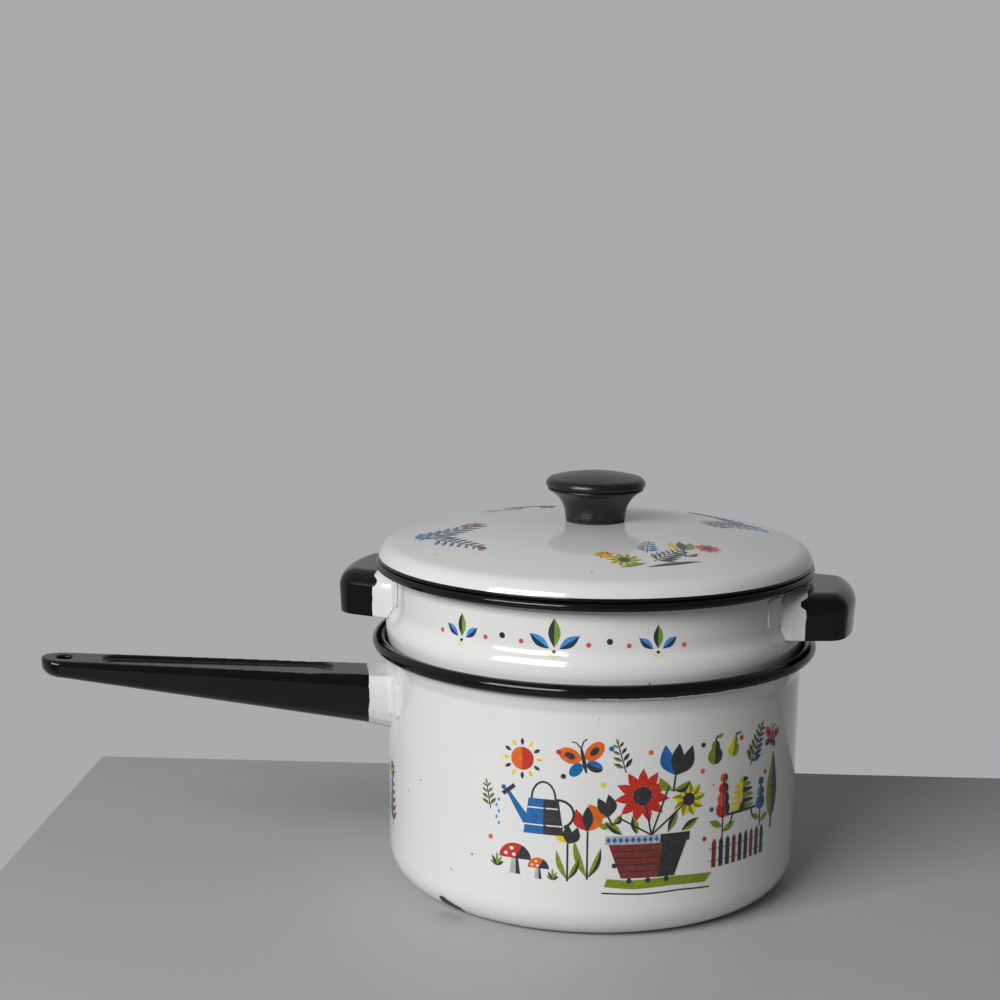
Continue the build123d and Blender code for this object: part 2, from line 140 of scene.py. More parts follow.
bpy.ops.object.select_all(action="DESELECT")
bpy.ops.mesh.primitive_plane_add(size=1, location=(0, 0, 0))
floor = bpy.context.object
floor.name = "floor"
table_middle = Vector(((table_left + table_right) / 2, (table_front + table_back) / 2, 0))
floor.scale = (table_right - table_left, table_back - table_front, 1)
floor.rotation_euler = (0, 0, camera_turn)
floor.location = Matrix.Rotation(camera_turn, 3, "Z") @ table_middle
bpy.ops.object.transform_apply()
floor_finish = bpy.data.materials.new("floor")
floor_finish.use_nodes = True
floor_shader = floor_finish.node_tree.nodes["Principled BSDF"]
floor_shader.inputs["Base Color"].default_value = table_grey
floor_shader.inputs["Roughness"].default_value = table_roughness
floor.data.materials.append(floor_finish)

world = bpy.data.worlds.new("room")
bpy.context.scene.world = world
world.use_nodes = True
world.node_tree.nodes.remove(world.node_tree.nodes["Background"])
room = Nodes(world.node_tree)
view = room.node("ShaderNodeTexCoord", {}, {}, "Generated")
ahead = room.node("ShaderNodeVectorMath", {"operation": "DOT_PRODUCT"}, [view, backdrop_direction], "Value")
upward = room.node("ShaderNodeSeparateXYZ", {}, [view], "Z")
seen_colour = room.mix(room_dark, backdrop_grey, ahead.step(backdrop_begins, backdrop_full))
seen_room = room.node("ShaderNodeBackground", {}, [seen_colour])
lit_room = room.node("ShaderNodeBackground", {}, [room.mix(side_light, ceiling_light, upward)])
diffuse_ray = room.node("ShaderNodeLightPath", {}, {}, "Is Diffuse Ray")
room_choice = room.node("ShaderNodeMixShader", {}, [diffuse_ray, seen_room, lit_room])
room.fill(room.tree.nodes["World Output"].inputs["Surface"], room_choice)

for row in range(window_rows):
    light = bpy.data.lights.new(f"window_lamp_{row + 1}", "AREA")
    light.shape = "RECTANGLE"
    light.size, light.size_y = window_row_size
    light.energy = window_power / window_rows
    lamp = bpy.data.objects.new(f"window_lamp_{row + 1}", light)
    bpy.context.scene.collection.objects.link(lamp)
    lamp.location = window_middle + Vector((0, 0, (row - (window_rows - 1) / 2) * window_row_rise))
    lamp.rotation_euler = (pot_middle - lamp.location).to_track_quat("-Z", "Y").to_euler()

# Camera
# It stands where the photo was taken from; the long handle lies along -X, so the view is turned a
# little against the frame.
camera_distance = 0.80606
camera_height = 0.29787
camera_yaw = -0.052
camera_pitch = 0.161
camera_roll = 0.009
sensor_width = 36
lens_share = 1.858864
near_clip = 0.01

camera_data = bpy.data.cameras.new("camera")
camera = bpy.data.objects.new("camera", camera_data)
bpy.context.scene.collection.objects.link(camera)
camera_data.sensor_width = sensor_width
camera_data.lens = sensor_width * lens_share
camera_data.clip_start = near_clip
stand = Matrix.Rotation(camera_turn, 4, "Z")
heading = Matrix.Rotation(camera_turn - camera_yaw, 4, "Z")
tilt = Matrix.Rotation(math.pi / 2 - camera_pitch, 4, "X")
roll = Matrix.Rotation(camera_roll, 4, "Z")
place = Matrix.Translation(stand @ Vector((0, -camera_distance, camera_height)))
camera.matrix_world = place @ heading @ tilt @ roll
bpy.context.scene.camera = camera
bpy.context.scene.view_settings.view_transform = "Standard"


# Lower pan, its white enamel
# One drawn steel sheet under two coats of white porcelain enamel, fired until it flows: glossy, a
# little wavy, with fine orange peel, faint stains and a few pits, and chipped at the foot.
mm = 0.001
white = (0.80, 0.80, 0.785, 1)
stained_white = (0.755, 0.75, 0.72, 1)
pit_brown = (0.10, 0.085, 0.07, 1)
ground_coat = (0.84, 0.82, 0.78, 1)
bare_steel = (0.018, 0.017, 0.017, 1)
white_wave = 0.035 * mm
coat_thickness = 0.12 * mm
chip_rounds = 6


class Finish(Nodes):
    """A named material; sizes in it are in metres."""

    def __init__(self, name):
        self.material = bpy.data.materials.new(name)
        self.material.use_nodes = True
        super().__init__(self.material.node_tree)
        self.shader = self.tree.nodes["Principled BSDF"]
        self.place = self.node("ShaderNodeTexCoord", {}, {}, "Object")

    def surface(self, values):
        """Fill the shader's sockets and hand over the material."""
        for name, value in values.items():
            self.fill(self.shader.inputs[name], value)
        return self.material

    def noise(self, scale, detail=2):
        """Noise from 0 to 1, with a scale in features per metre."""
        values = {"Vector": self.place, "Scale": scale, "Detail": detail, "Roughness": 0.5}
        return self.node("ShaderNodeTexNoise", {}, values)

    def bump(self, height):
        """Normal of a surface that is raised by a height."""
        return self.node("ShaderNodeBump", {}, {"Strength": 1, "Distance": 1, "Height": height}, "Normal")

    def away(self, point):
        """Distance from a point."""
        return self.node("ShaderNodeVectorMath", {"operation": "DISTANCE"}, [self.place, point], "Value")

    def along(self, axis):
        """Place along X, Y or Z."""
        return self.node("ShaderNodeSeparateXYZ", {}, [self.place], axis)


def enamel_relief(finish, wave=white_wave):
    """Height of fired enamel: slow waves of the coat and fine orange peel."""
    slow = finish.noise(32, 1) * wave
    middle = finish.noise(120, 1) * (wave * 0.16)
    peel = finish.noise(620, 1) * (wave * 0.035)
    return slow + middle + peel


def white_coat(finish, chips=()):
    """White enamel's colour, roughness and height; chips are (point, radius) down to dark steel."""
    stain = finish.noise(14, 3).step(0.52, 0.80) * 0.35
    colour = finish.mix(white, stained_white, stain)
    pit_cell = finish.node(
        "ShaderNodeTexVoronoi", {"feature": "F1"}, {"Vector": finish.place, "Scale": 130},
    )
    rare = finish.noise(55, 0).step(0.66, 0.68)
    pit = (1 - pit_cell.step(0.05, 0.09)) * rare
    colour = finish.mix(colour, pit_brown, pit * 0.8)
    height = enamel_relief(finish)
    rough = finish.noise(40, 3) * 0.06 + 0.06
    if chips:
        nearest, *others = [finish.away(point) / radius for point, radius in chips]
        for other in others:
            nearest = nearest.lesser(other)
        ragged = nearest + (finish.noise(420, 3) - 0.5) * 0.5
        halo = 1 - ragged.step(1.08, 1.18)
        steel = 1 - ragged.step(0.86, 0.94)
        colour = finish.mix(colour, ground_coat, halo * 0.8)
        colour = finish.mix(colour, bare_steel, steel)
        height = height - (halo + steel) * coat_thickness
        rough = rough + halo * 0.35
    return colour, rough, height


def coated(finish, coat):
    """Material from a coat's colour, roughness and height."""
    colour, rough, height = coat
    return finish.surface({"Base Color": colour, "Roughness": rough, "Normal": finish.bump(height)})


def white_enamel(name, chips=()):
    """White enamel, with chips where it is chipped."""
    finish = Finish(name)
    return coated(finish, white_coat(finish, chips))


def dress(node_name, material):
    """Give a CAD node one material."""
    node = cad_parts[node_name]
    node.data.materials.clear()
    node.data.materials.append(material)


def around(angle, radius, height):
    """Point of a round wall, from an angle in degrees, a radius and a height in metres."""
    turn = math.radians(angle)
    return (radius * math.cos(turn), radius * math.sin(turn), height)


# The chip's left and right end: angle, radius and height on the foot, and the size of its rounds
chip_left = (-143.9, 86.8, 5.8, 3.4)
chip_right = (-139.0, 85.1, 3.6, 2.9)
foot_chip = []
for number in range(chip_rounds):
    share = number / (chip_rounds - 1)
    ends = zip(chip_left, chip_right)
    angle, radius, height, size = [left + (right - left) * share for left, right in ends]
    foot_chip.append((around(angle, radius * mm, height * mm), size * mm))
dress("lower_pan_shell", white_enamel("pan_white_enamel", foot_chip))
plain_white = white_enamel("white_enamel")

# Lower pan, its rolled edge
# The pan's edge was dipped in black enamel after firing; it has worn through to pale ground coat
# in a ragged line under the front of the bead.
black = (0.003, 0.003, 0.0037, 1)
dusty_black = (0.013, 0.0125, 0.012, 1)
worn_white = (0.80, 0.77, 0.70, 1)
black_gloss = 0.34
black_wave = 0.06 * mm
wear_rise = 1.5 * mm
wear_raggedness = 1.5 * mm
wear_edge = 0.10 * mm
wear_depth = 0.08 * mm
wear_left = -24 * mm
wear_fade = 12 * mm


def black_coat(finish, wave=black_wave):
    """Black enamel's colour, roughness and height."""
    dust = finish.noise(90, 4).step(0.55, 0.85) * 0.5
    colour = finish.mix(black, dusty_black, dust)
    rough = finish.noise(70, 3) * 0.08 + 0.07
    return colour, rough, enamel_relief(finish, wave)


def black_enamel(name, wear_top=None):
    """Black enamel that may have flaked off in a ragged line, below a height and from the front."""
    finish = Finish(name)
    finish.shader.inputs["Specular IOR Level"].default_value = black_gloss
    colour, rough, height = black_coat(finish)
    if wear_top is not None:
        ragged = finish.along("Z") + (finish.noise(300, 5) - 0.5) * wear_raggedness
        low = 1 - ragged.step(wear_top, wear_top + wear_edge)
        patchy = finish.noise(34, 2).step(0.30, 0.36)
        worn = low * patchy * finish.along("X").step(wear_left, wear_left + wear_fade)
        colour = finish.mix(colour, worn_white, worn)
        rough = rough + worn * 0.4
        height = height - worn * wear_depth
    return coated(finish, (colour, rough, height))


pan_rim_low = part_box("lower_pan_rim")[0].z
dress("lower_pan_rim", black_enamel("pan_rim_enamel", pan_rim_low + wear_rise))
plain_black = black_enamel("black_enamel")

# Long handle
# A hollow grip of two pressed halves, folded together, with a thumb trough and a hanging eye; its
# short root flares to the pan, where two tabs are welded on. White all over, then dipped in black.
# Sizes are in millimetres and degrees.
pan_wall_low = 12
pan_wall_high = 98
grip_start = 100.0
grip_top = 93.567
grip_rise = 3.61
grip_tip = 130.4
grip_half_width = 12.74
grip_depth = 23.4
tip_half_width = 9.5
tip_depth = 8.8
root_reach = 12.6
root_flare = 1.10
eye_radius = 3.4
trough_near = 24.5
trough_near_radius = 8.6
trough_far = 107.5
trough_far_radius = 6.0
trough_depth = 1.7
trough_slope = (1.05, 1.45, 1)
handle_tab_low = 76.5
handle_tab_high = 92.0
handle_tab_level = 85
handle_tab_length = 11.5
handle_tab_thickness = 0.9
handle_tab_overlap = 1.5
handle_cut_low = 60
weld_sink = 0.45
tab_sink = 0.2
tab_corner = 3.0
tab_step = 1.5
handle_voxel = 0.48
handle_flow = 7
dip_gloss = 0.40
dip_raggedness = 1.8
dip_edge = 0.06
dip_nose = 2.0
dip_slope = (-0.2, 0.6)
dip_thickness = 0.22
dip_wave = 0.09
front_angle = -100
ray_angles = [number * 0.7 for number in range(8)]


def cad_surface(node_name):
    """Tree of a CAD node's triangles, to cast rays at."""
    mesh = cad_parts[node_name].data
    return BVHTree.FromPolygons([v.co for v in mesh.vertices], [p.vertices for p in mesh.polygons])


def between(samples, low, high):
    """Function that reads even samples from low to high, with straight lines between them."""
    count = len(samples) - 1

    def read(at):
        place = min(max((at - low) / (high - low) * count, 0), count - 1e-6)
        first = int(place)
        return samples[first] + (samples[first + 1] - samples[first]) * (place - first)

    return read


def wall_profile(node_name, low, high, count=24):
    """Outer radius of a round wall at any height, read from the CAD node, all in millimetres."""
    tree = cad_surface(node_name)
    outside = 200 * mm
    radii = []
    for number in range(count + 1):
        height = low + (high - low) * number / count
        # The furthest hit is taken, since the facets lie a little inside the true round
        hits = []
        for angle in ray_angles:
            start = Vector(around(front_angle + angle, outside, height * mm))
            inward = Vector((-start.x, -start.y, 0))
            hits.append(tree.ray_cast(start, inward)[0].xy.length / mm)
        radii.append(max(hits))
    return between(radii, low, high)


def on_wall(profile, middle, middle_radius):
    """Function that lays a drawing, in millimetres, round a wall from its middle angle."""
    def lay(point):
        across, height, lift = point
        turn = math.radians(middle) + across / middle_radius
        radius = profile(height) + lift
        return Vector((radius * math.cos(turn), radius * math.sin(turn), height)) * mm

    return lay


def wall_cutter(profile, low, high, inset, sides=160, steps=12):
    """Round block inside a wall's outer face, to cut what is welded on to the wall's shape."""
    bpy.ops.object.select_all(action="DESELECT")
    radius = (profile(low) - inset) * mm
    bpy.ops.mesh.primitive_circle_add(
        vertices=sides, radius=radius, fill_type="NGON", location=(0, 0, low * mm),
    )
    cutter = bpy.context.object
    bpy.ops.object.transform_apply()
    bpy.ops.object.mode_set(mode="EDIT")
    bpy.ops.mesh.select_all(action="SELECT")
    for number in range(1, steps + 1):
        height = low + (high - low) * number / steps
        bpy.ops.mesh.extrude_region_move(
            TRANSFORM_OT_translate={"value": (0, 0, (high - low) / steps * mm)},
        )
        wanted = (profile(height) - inset) * mm
        bpy.ops.transform.resize(value=(wanted / radius, wanted / radius, 1), center_override=(0, 0, 0))
        radius = wanted
    bpy.ops.mesh.select_all(action="SELECT")
    bpy.ops.mesh.normals_make_consistent(inside=False)
    bpy.ops.object.mode_set(mode="OBJECT")
    return cutter


def cut_away(piece, cutter):
    """Take a cutter out of a piece and delete the cutter."""
    bpy.ops.object.select_all(action="DESELECT")
    bpy.context.view_layer.objects.active = piece
    piece.select_set(True)
    cut = piece.modifiers.new("cut", "BOOLEAN")
    cut.operation = "DIFFERENCE"
    cut.solver = "EXACT"
    cut.object = cutter
    bpy.ops.object.modifier_apply(modifier="cut")
    bpy.data.objects.remove(cutter)


def wall_tab(lay, start, end, low, high, thickness):
    """Thin tab with round corners that lies on a wall, from one place round it to another."""
    bpy.ops.object.select_all(action="DESELECT")
    middle = ((start + end) / 2, (low + high) / 2, thickness / 2 - tab_sink)
    bpy.ops.mesh.primitive_cube_add(size=1, location=middle)
    tab = bpy.context.object
    tab.scale = (abs(end - start), high - low, thickness + 2 * tab_sink)
    bpy.ops.object.transform_apply()
    bpy.context.tool_settings.mesh_select_mode = (False, True, False)
    bpy.ops.object.mode_set(mode="EDIT")
    bpy.ops.mesh.select_all(action="DESELECT")
    bpy.ops.object.mode_set(mode="OBJECT")
    for edge in tab.data.edges:
        first, last = [tab.data.vertices[index].co for index in edge.vertices]
        through = abs(first.z - last.z) > thickness / 2
        edge.select = through and abs(first.x - end) < tab_corner / 10
    bpy.ops.object.mode_set(mode="EDIT")
    bpy.ops.mesh.bevel(offset=tab_corner, segments=5, affect="EDGES")
    bpy.context.tool_settings.mesh_select_mode = (True, False, False)
    left = min(start, end)
    columns = int(abs(end - start) / tab_step)
    rows = int((high - low) / (2 * tab_step))
    cuts = [((left + number * tab_step, 0, 0), (1, 0, 0)) for number in range(1, columns)]
    cuts += [((0, low + number * 2 * tab_step, 0), (0, 1, 0)) for number in range(1, rows)]
    for place, normal in cuts:
        bpy.ops.mesh.select_all(action="SELECT")
        bpy.ops.mesh.bisect(plane_co=place, plane_no=normal)
    bpy.ops.object.mode_set(mode="OBJECT")
    for vertex in tab.data.vertices:
        vertex.co = lay(vertex.co)
    return tab


def melt(piece, others, voxel, rounds):
    """Fuse pieces and let the surface flow, as fired enamel does over welds and edges."""
    bpy.ops.object.select_all(action="DESELECT")
    for part in [piece] + others:
        part.select_set(True)
    bpy.context.view_layer.objects.active = piece
    bpy.ops.object.join()
    flow = piece.modifiers.new("flow", "REMESH")
    flow.mode = "VOXEL"
    flow.voxel_size = voxel * mm
    bpy.ops.object.modifier_apply(modifier="flow")
    soft = piece.modifiers.new("soft", "SMOOTH")
    soft.factor = 0.5
    soft.iterations = rounds
    bpy.ops.object.modifier_apply(modifier="soft")
    piece.data.materials.clear()


def part_at(piece, point, normal, near_name, far_name):
    """Cut a piece in two along a plane; both halves are closed."""
    bpy.ops.object.select_all(action="DESELECT")
    bpy.context.view_layer.objects.active = piece
    piece.select_set(True)
    bpy.ops.object.duplicate()
    far = bpy.context.object
    far.name = far_name
    piece.name = near_name
    for half, outer in ((piece, True), (far, False)):
        bpy.ops.object.select_all(action="DESELECT")
        half.select_set(True)
        bpy.context.view_layer.objects.active = half
        bpy.ops.object.mode_set(mode="EDIT")
        bpy.ops.mesh.select_all(action="SELECT")
        bpy.ops.mesh.bisect(
            plane_co=point, plane_no=normal, use_fill=True, clear_outer=outer, clear_inner=not outer,
        )
        bpy.ops.object.mode_set(mode="OBJECT")
        bpy.ops.object.shade_smooth_by_angle(angle=math.radians(50))
    return piece, far


def two_coats(name, direction, line, nose_height=None):
    """White enamel that goes over to black in a ragged, raised line across a direction.

    Around the nose's height, the black reaches further into the white.
    """
    finish = Finish(name)
    finish.shader.inputs["Specular IOR Level"].default_value = dip_gloss
    settings = {"operation": "DOT_PRODUCT"}
    along = finish.node("ShaderNodeVectorMath", settings, [finish.place, direction], "Value")
    ragged = along + (finish.noise(150, 4) - 0.5) * (dip_raggedness * mm)
    if nose_height is not None:
        from_nose = abs(finish.along("Z") - nose_height)
        nose = 1 - from_nose.step(0.3 * dip_nose * mm, 1.3 * dip_nose * mm)
        ragged = ragged + nose * (dip_nose * mm)
    dipped = ragged.step(line - dip_edge * mm, line + dip_edge * mm)
    white_colour, white_rough, white_height = white_coat(finish)
    black_colour, black_rough, black_height = black_coat(finish, dip_wave * mm)
    colour = finish.mix(white_colour, black_colour, dipped)
    rough = white_rough + (black_rough - white_rough) * dipped
    slope = ragged.step(line + dip_slope[0] * mm, line + dip_slope[1] * mm)
    height = white_height + (black_height - white_height) * dipped + slope * (dip_thickness * mm)
    return coated(finish, (colour, rough, height))


def grip_body():
    """Closed form of the grip and its root, lying along -X with its top at zero."""
    # Right half of the cross-section, as shares of the half width and of the depth
    half_shares = [
        (0, 0), (0.855, 0), (0.94, -0.055), (0.985, -0.13), (1.0, -0.22), (0.99, -0.34),
        (0.94, -0.50), (0.85, -0.66), (0.71, -0.81), (0.50, -0.92), (0.26, -0.98), (0, -1),
    ]
    outline = half_shares + [(-across, down) for across, down in half_shares[-2:0:-1]]
    bpy.ops.object.select_all(action="DESELECT")
    bpy.ops.mesh.primitive_circle_add(vertices=len(outline), radius=1)
    body = bpy.context.object
    place = root_reach
    width = grip_half_width * root_flare
    depth = grip_depth * root_flare
    for vertex, (across, down) in zip(body.data.vertices, outline):
        vertex.co = Vector((place, across * width, down * depth)) * mm
    bpy.ops.object.mode_set(mode="EDIT")
    bpy.ops.mesh.select_all(action="SELECT")
    bpy.ops.mesh.edge_face_add()
    stations = [
        (0, grip_half_width, grip_depth),
        (-grip_tip / 2, (grip_half_width + tip_half_width) / 2, (grip_depth + tip_depth) / 2),
        (-grip_tip, tip_half_width, tip_depth),
    ]
    turns = 10
    least_width = 0.35
    nose_share = 0.25
    for number in range(1, turns + 1):
        angle = math.pi / 2 * number / turns
        fullness = nose_share + (1 - nose_share) * max(math.cos(angle), 0) ** 0.8
        reach = grip_tip + tip_half_width * math.sin(angle)
        stations.append((-reach, max(tip_half_width * math.cos(angle), least_width), tip_depth * fullness))
    for next_place, next_width, next_depth in stations:
        move = ((next_place - place) * mm, 0, 0)
        bpy.ops.mesh.extrude_region_move(TRANSFORM_OT_translate={"value": move})
        growth = (1, next_width / width, next_depth / depth)
        bpy.ops.transform.resize(value=growth, center_override=(0, 0, 0))
        place, width, depth = next_place, next_width, next_depth
    bpy.ops.mesh.select_all(action="SELECT")
    bpy.ops.mesh.normals_make_consistent(inside=False)
    bpy.ops.object.mode_set(mode="OBJECT")
    return body


def choose(piece, wanted):
    """Go into edit mode with only the vertices chosen whose place is wanted."""
    bpy.ops.object.mode_set(mode="EDIT")
    bpy.ops.mesh.select_all(action="DESELECT")
    bpy.ops.object.mode_set(mode="OBJECT")
    for vertex in piece.data.vertices:
        vertex.select = wanted(vertex.co)
    bpy.ops.object.mode_set(mode="EDIT")


def trough_cutter():
    """Long, shallow hollow with round, sloping ends."""
    bpy.ops.object.select_all(action="DESELECT")
    bpy.ops.mesh.primitive_cylinder_add(
        vertices=48, radius=trough_near_radius * mm, depth=2 * trough_depth * mm,
        location=(-trough_near * mm, 0, 0),
    )
    cutter = bpy.context.object
    bpy.ops.object.transform_apply()
    choose(cutter, lambda place: place.x < -trough_near * mm)
    share = trough_far_radius / trough_near_radius
    bpy.ops.transform.resize(value=(share, share, 1), center_override=(-trough_near * mm, 0, 0))
    bpy.ops.transform.translate(value=((trough_near - trough_far) * mm, 0, 0))
    choose(cutter, lambda place: place.z > 0)
    middle = (-(trough_near + trough_far) / 2 * mm, 0, 0)
    bpy.ops.transform.resize(value=trough_slope, center_override=middle)
    bpy.ops.object.mode_set(mode="OBJECT")
    return cutter


grip = grip_body()
cut_away(grip, trough_cutter())
bpy.ops.object.select_all(action="DESELECT")
bpy.ops.mesh.primitive_cylinder_add(
    vertices=40, radius=eye_radius * mm, depth=3 * tip_depth * mm, location=(-grip_tip * mm, 0, 0),
)
cut_away(grip, bpy.context.object)

grip.rotation_euler = (0, math.radians(grip_rise), 0)
grip.location = (-grip_start * mm, 0, grip_top * mm)
bpy.ops.object.select_all(action="DESELECT")
grip.select_set(True)
bpy.context.view_layer.objects.active = grip
bpy.ops.object.transform_apply()
pan_profile = wall_profile("lower_pan_shell", pan_wall_low, pan_wall_high)
cut_away(grip, wall_cutter(pan_profile, handle_cut_low, pan_wall_high, weld_sink))
on_pan = on_wall(pan_profile, 180, pan_profile(handle_tab_level))
handle_tabs = []
for way in (1, -1):
    inner = way * (grip_half_width * root_flare - handle_tab_overlap)
    outer = inner + way * handle_tab_length
    handle_tabs.append(wall_tab(on_pan, inner, outer, handle_tab_low, handle_tab_high, handle_tab_thickness))
melt(grip, handle_tabs, handle_voxel, handle_flow)

dip_line = grip_start * mm
root, grip = part_at(grip, (-dip_line, 0, 0), (-1, 0, 0), "handle_root", "handle_grip")
handle_coats = two_coats("handle_enamel", (-1, 0, 0), dip_line)
for piece, slot, nodes in (
    (root, "white_enamel", ["handle_bracket"]),
    (grip, "black_enamel", ["handle_channel", "handle_top_plate"]),
):
    piece.data.materials.append(handle_coats)
    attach(piece, "lower_pan")
    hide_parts(*nodes)

# Insert
# A second drawn pot in the same white enamel, which hangs in the pan by its shoulder; its edge is
# curled outwards and black.
dress("insert_shell", plain_white)
dress("insert_rim", plain_black)

# Side lugs of the insert
# Two pressed wings, closed on top and open below for the fingertips, welded to the collar by tabs;
# white all over, then the outer part is dipped in black. The flowing enamel has rounded every edge.
lug_turn = -19.0
lug_split = 95.0 * mm
lug_dip = {"right": 94.1 * mm, "left": 93.5 * mm}
lug_nose = 131.6 * mm
lug_lean = 0.045
lug_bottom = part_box("right_lug")[0].z
lug_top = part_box("right_lug")[1].z
lug_voxel = 0.42
lug_flow = 8
collar_middle = 88.5 * mm
weld_distance = 0.002 * mm


def merged_copy(node_name):
    """Copy of a CAD node's mesh with its loose triangles joined."""
    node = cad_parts[node_name]
    copy = bpy.data.objects.new(f"{node_name}_copy", node.data.copy())
    bpy.context.scene.collection.objects.link(copy)
    bpy.ops.object.select_all(action="DESELECT")
    copy.select_set(True)
    bpy.context.view_layer.objects.active = copy
    bpy.ops.object.mode_set(mode="EDIT")
    bpy.ops.mesh.select_all(action="SELECT")
    bpy.ops.mesh.remove_doubles(threshold=weld_distance)
    bpy.ops.object.mode_set(mode="OBJECT")
    return copy


for number, side in enumerate(("right", "left")):
    angle = math.radians(lug_turn + 180 * number)
    out = Vector((math.cos(angle), math.sin(angle), 0))
    wing = merged_copy(f"{side}_lug")
    melt(wing, [merged_copy(f"{side}_lug_root")], lug_voxel, lug_flow)
    # The wing leans in towards its open bottom
    for vertex in wing.data.vertices:
        share = (lug_top - vertex.co.z) / (lug_top - lug_bottom)
        beyond = max(vertex.co.dot(out) - collar_middle, 0) * share
        vertex.co -= out * (beyond * lug_lean)
    foot, wing = part_at(wing, out * lug_split, out, f"{side}_lug_foot", f"{side}_lug_wing")
    coats = two_coats(f"{side}_lug_enamel", out, lug_dip[side], lug_nose)
    for piece, slot, node in (
        (foot, "white_enamel", f"{side}_lug_root"),
        (wing, "black_enamel", f"{side}_lug"),
    ):
        piece.data.materials.append(coats)
        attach(piece, "insert")
        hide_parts(node)

# Lid
# One pressed dome in white enamel; its edge is hemmed and black, and a skirt under it keeps it in
# the middle of the insert.
dress("lid_shell", plain_white)
dress("lid_rim", plain_black)

# Ornament on the insert's collar
# A printed transfer, fired into the glaze: three sprigs with dots between them, centred between
# the lugs, front and back. Sizes are in millimetres and degrees.
collar_low = 112
collar_high = 136
collar_level = 130
sprig_middle = -110.0
sprig_spacing = 26.95
sprig_height = 122.0
sprig_slices = [(-56, 56), (114, 136)]
sprig_slice = 2
big_sprig_sizes = {
    "leaf_height": 11.9, "leaf_width": 5.0,
    "side_root": (2.0, -0.5), "side_tip": (10.2, 5.2), "side_width": 4.1, "drop": 1.7,
}
small_sprig_sizes = {
    "leaf_height": 9.6, "leaf_width": 3.9,
    "side_root": (2.0, -0.2), "side_tip": (7.8, 4.5), "side_width": 3.3, "drop": 1.45,
}
rose_dots = [(8.9, 1.6), (19.3, 1.4), (34.2, 0.8)]
rose_dot_radius = 1.0
black_dot = (14.3, 3.1)
black_dot_radius = 1.25
inks = {
    "paper": (0.78, 0.78, 0.76, 1),
    "black": (0.030, 0.030, 0.033, 1),
    "navy": (0.018, 0.034, 0.085, 1),
    "sky": (0.05, 0.27, 0.66, 1),
    "blue": (0.010, 0.125, 0.38, 1),
    "leaf": (0.17, 0.30, 0.045, 1),
    "olive": (0.20, 0.27, 0.012, 1),
    "rose": (0.66, 0.09, 0.10, 1),
    "red": (0.53, 0.024, 0.012, 1),
    "orange": (0.72, 0.13, 0.010, 1),
    "yellow": (0.78, 0.60, 0.020, 1),
    "cream": (0.78, 0.74, 0.38, 1),
    "maroon": (0.19, 0.028, 0.024, 1),
    "grey": (0.42, 0.43, 0.45, 1),
}
layer_order = list(inks)[::-1]
# The sheets start just inside the glaze, and each next ink is a little thicker, to lie on the last
print_low = -0.03
print_thickness = 0.05
print_layer = 0.006


def ink_finish(colour_name):
    """Glossy ceramic ink, a little uneven, under the same waves as the enamel."""
    finish = Finish(f"{colour_name}_ink")
    red_part, green_part, blue_part, alpha = inks[colour_name]
    thin = (red_part * 1.25 + 0.01, green_part * 1.25 + 0.01, blue_part * 1.25 + 0.01, alpha)
    colour = finish.mix(inks[colour_name], thin, finish.noise(420, 3).step(0.45, 0.75))
    rough = finish.noise(40, 3) * 0.06 + 0.08
    normal = finish.bump(enamel_relief(finish))
    return finish.surface({"Base Color": colour, "Roughness": rough, "Normal": normal})


ink_materials = {name: ink_finish(name) for name in inks}


def lay_print(name, drawing, lay, body, slices, slice_step):
    """Cut a drawing's outlines from thin sheet, colour by colour, and lay them on the enamel.

    The slices are the ranges across and up in which a sheet is cut into strips, so that it bends.
    """
    for layer, colour_name in enumerate(layer_order):
        outlines = [outline for ink_name, outline in drawing if ink_name == colour_name]
        if not outlines:
            continue
        bpy.ops.object.select_all(action="DESELECT")
        for outline in outlines:
            curve = bpy.data.curves.new(f"{name}_{colour_name}", "CURVE")
            curve.dimensions = "2D"
            curve.fill_mode = "BOTH"
            spline = curve.splines.new("POLY")
            spline.points.add(len(outline) - 1)
            for knot, (across, height) in zip(spline.points, outline):
                knot.co = (across, height, 0, 1)
            spline.use_cyclic_u = True
            shape = bpy.data.objects.new(f"{name}_{colour_name}", curve)
            bpy.context.scene.collection.objects.link(shape)
            shape.select_set(True)
            bpy.context.view_layer.objects.active = shape
        bpy.ops.object.convert(target="MESH")
        if len(outlines) > 1:
            bpy.ops.object.join()
        piece = bpy.context.object
        bpy.ops.object.mode_set(mode="EDIT")
        for normal, (low, high) in zip((Vector((1, 0, 0)), Vector((0, 1, 0))), slices):
            for number in range(1, int((high - low) / slice_step)):
                bpy.ops.mesh.select_all(action="SELECT")
                bpy.ops.mesh.bisect(plane_co=normal * (low + number * slice_step), plane_no=normal)
        bpy.ops.mesh.select_all(action="SELECT")
        bpy.ops.mesh.normals_make_consistent(inside=False)
        bpy.ops.object.mode_set(mode="OBJECT")
        thickness = print_thickness + layer * print_layer
        sheet = piece.modifiers.new("sheet", "SOLIDIFY")
        sheet.thickness = thickness
        sheet.offset = 0
        bpy.ops.object.modifier_apply(modifier="sheet")
        for vertex in piece.data.vertices:
            across, height, lift = vertex.co
            vertex.co = lay((across, height, print_low + lift + thickness / 2))
        piece.data.materials.clear()
        piece.data.materials.append(ink_materials[colour_name])
        bpy.ops.object.shade_smooth_by_angle(angle=math.radians(40))
        piece.name = f"{name}_{colour_name}"
        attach(piece, body)


